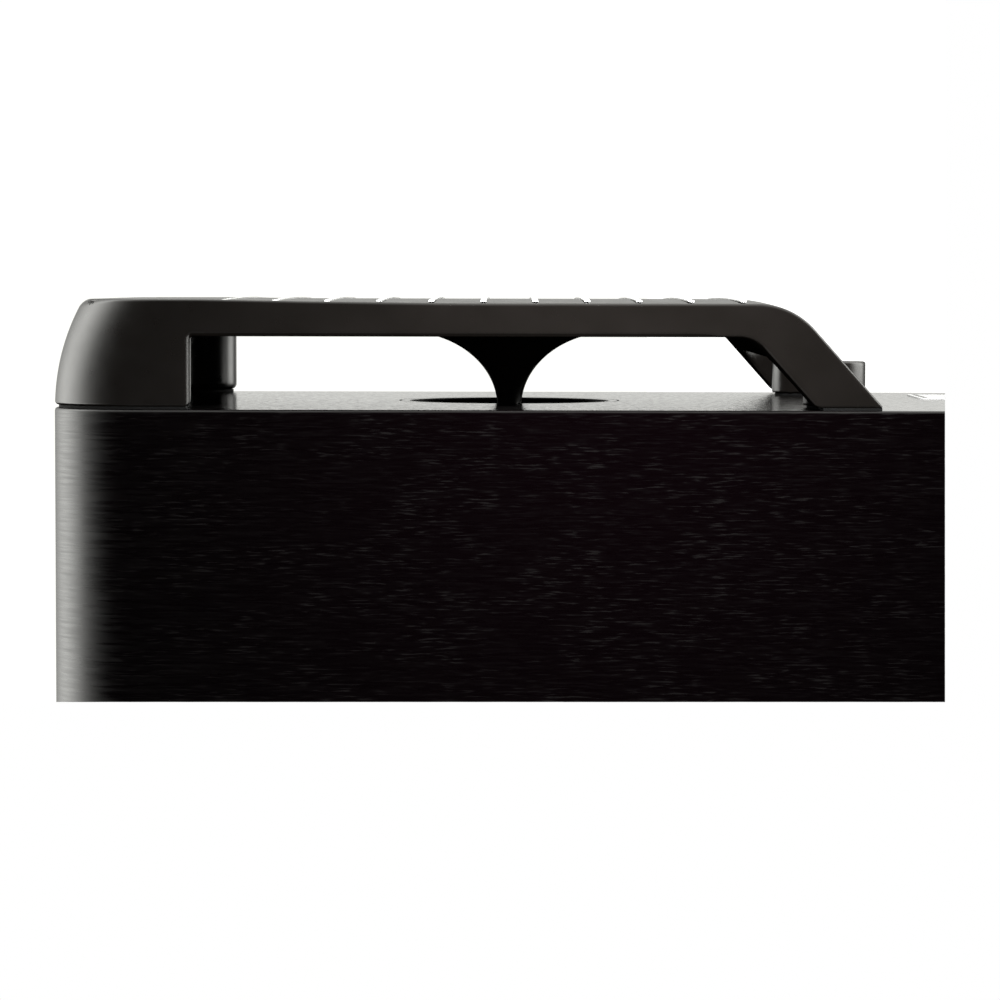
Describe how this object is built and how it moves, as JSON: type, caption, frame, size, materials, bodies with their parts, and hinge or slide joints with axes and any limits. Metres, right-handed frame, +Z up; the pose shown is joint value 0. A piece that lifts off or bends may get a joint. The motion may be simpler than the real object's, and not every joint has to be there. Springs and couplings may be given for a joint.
{
  "type": "bookshelf loudspeaker",
  "caption": "Vented two-way bookshelf loudspeaker with rounded black ash cabinet, rear port bracket with trumpet-shaped diffuser, recessed binding posts and moving drivers.",
  "frame": {"origin": "on the standing surface, under the centre of the overall box", "axes": "+Z up, the drivers face -Y and the port bracket +Y, +X to the left seen from behind"},
  "size_m": [0.19, 0.2758, 0.36],
  "materials": {
    "ash_vinyl": "satin wood-grain foil",
    "rear_vinyl": "smooth satin foil",
    "baffle_paint": "matt paint",
    "raw_mdf": "raw board",
    "wadding": "loose fibre",
    "label_foil": "satin foil",
    "port_plastic": "satin moulded",
    "bracket_plastic": "fine textured moulded",
    "foam": "closed-cell foam",
    "bar_ink": "satin",
    "black_screw": "black zinc",
    "terminal_plastic": "fine textured moulded",
    "red_plastic": "gloss",
    "black_plastic": "gloss",
    "gilt_brass": "gold flash",
    "board_green": "solder mask",
    "nylon": "natural nylon",
    "zinc_screw": "bright zinc",
    "copper": "enamelled wire",
    "capacitor_film": "gloss film",
    "ceramic": "cement",
    "lead_red": "insulation",
    "lead_grey": "insulation",
    "basket_paint": "textured black paint on die casting",
    "rubber": "matt",
    "cone_poly": "mica-filled polypropylene",
    "spider_cloth": "resin-stiffened weave",
    "plated_steel": "zinc plated",
    "ferrite": "ground ferrite",
    "silk": "coated textile"
  },
  "bodies": {
    "root": {"cabinet_wrap": "ash_vinyl", "front_baffle": "baffle_paint", "rear_panel": "rear_vinyl", "window_brace": "raw_mdf", "damping_wadding": "wadding", "rating_label": "label_foil", "port_tube": "port_plastic", "port_bracket": "bracket_plastic", "bracket_gasket": "foam", "diffuser_cone": "bracket_plastic", "cone_screw": "black_screw", "bracket_bars": "bar_ink", "bracket_screws": "black_screw", "terminal_plate": "terminal_plastic", "terminal_gasket": "foam", "terminal_screws": "black_screw", "red_post_stud": "gilt_brass", "red_post_collar": "red_plastic", "black_post_stud": "gilt_brass", "black_post_collar": "black_plastic", "post_nuts": "gilt_brass", "crossover_board": "board_green", "board_standoffs": "nylon", "board_screws": "zinc_screw", "woofer_inductor": "copper", "tweeter_inductor": "copper", "board_capacitors": "capacitor_film", "board_resistors": "ceramic", "input_leads": "lead_red", "woofer_leads": "lead_grey", "tweeter_leads": "lead_grey", "woofer_basket": "basket_paint", "woofer_trim_ring": "rubber", "woofer_gasket": "foam", "woofer_surround": "rubber", "woofer_spider": "spider_cloth", "woofer_top_plate": "plated_steel", "woofer_magnet": "ferrite", "woofer_yoke": "plated_steel", "woofer_tags": "gilt_brass", "woofer_screws": "black_screw", "tweeter_faceplate": "terminal_plastic", "tweeter_surround": "silk", "tweeter_top_plate": "plated_steel", "tweeter_magnet": "ferrite", "tweeter_yoke": "plated_steel", "tweeter_tags": "gilt_brass", "tweeter_screws": "black_screw"},
    "woofer_diaphragm": {"woofer_cone": "cone_poly", "woofer_dust_cap": "cone_poly", "woofer_voice_coil": "copper"},
    "tweeter_diaphragm": {"tweeter_dome": "silk", "tweeter_voice_coil": "copper"},
    "red_washer": {"red_post_washer": "gilt_brass"},
    "red_knob": {"red_post_knob": "red_plastic"},
    "black_washer": {"black_post_washer": "gilt_brass"},
    "black_knob": {"black_post_knob": "black_plastic"}
  },
  "joints": [
    {"name": "woofer_excursion", "type": "slide", "parent": "root", "child": "woofer_diaphragm", "axis": [0, -1, 0], "range_m": [-0.004, 0.004], "stiffness_N_per_m": 1000, "deforming": ["woofer_surround", "woofer_spider"]},
    {"name": "tweeter_excursion", "type": "slide", "parent": "root", "child": "tweeter_diaphragm", "axis": [0, -1, 0], "range_m": [-0.0004, 0.0004], "stiffness_N_per_m": 200, "deforming": ["tweeter_surround"]},
    {"name": "red_post_lift", "type": "slide", "parent": "root", "child": "red_washer", "axis": [0, 1, 0], "range_m": [0, 0.004]},
    {"name": "red_post_turn", "type": "hinge", "parent": "red_washer", "child": "red_knob", "pos_m": [-0.00953, 0.1056, 0.04], "axis": [0, 1, 0], "range_deg": [0, 1800]},
    {"name": "black_post_lift", "type": "slide", "parent": "root", "child": "black_washer", "axis": [0, 1, 0], "range_m": [0, 0.004]},
    {"name": "black_post_turn", "type": "hinge", "parent": "black_washer", "child": "black_knob", "pos_m": [0.00953, 0.1056, 0.04], "axis": [0, 1, 0], "range_deg": [0, 1800]}
  ],
  "couplings": [
    {"joint": "red_post_turn", "follows": "red_post_lift", "rad_per_m": 7854},
    {"joint": "black_post_turn", "follows": "black_post_lift", "rad_per_m": 7854}
  ]
}
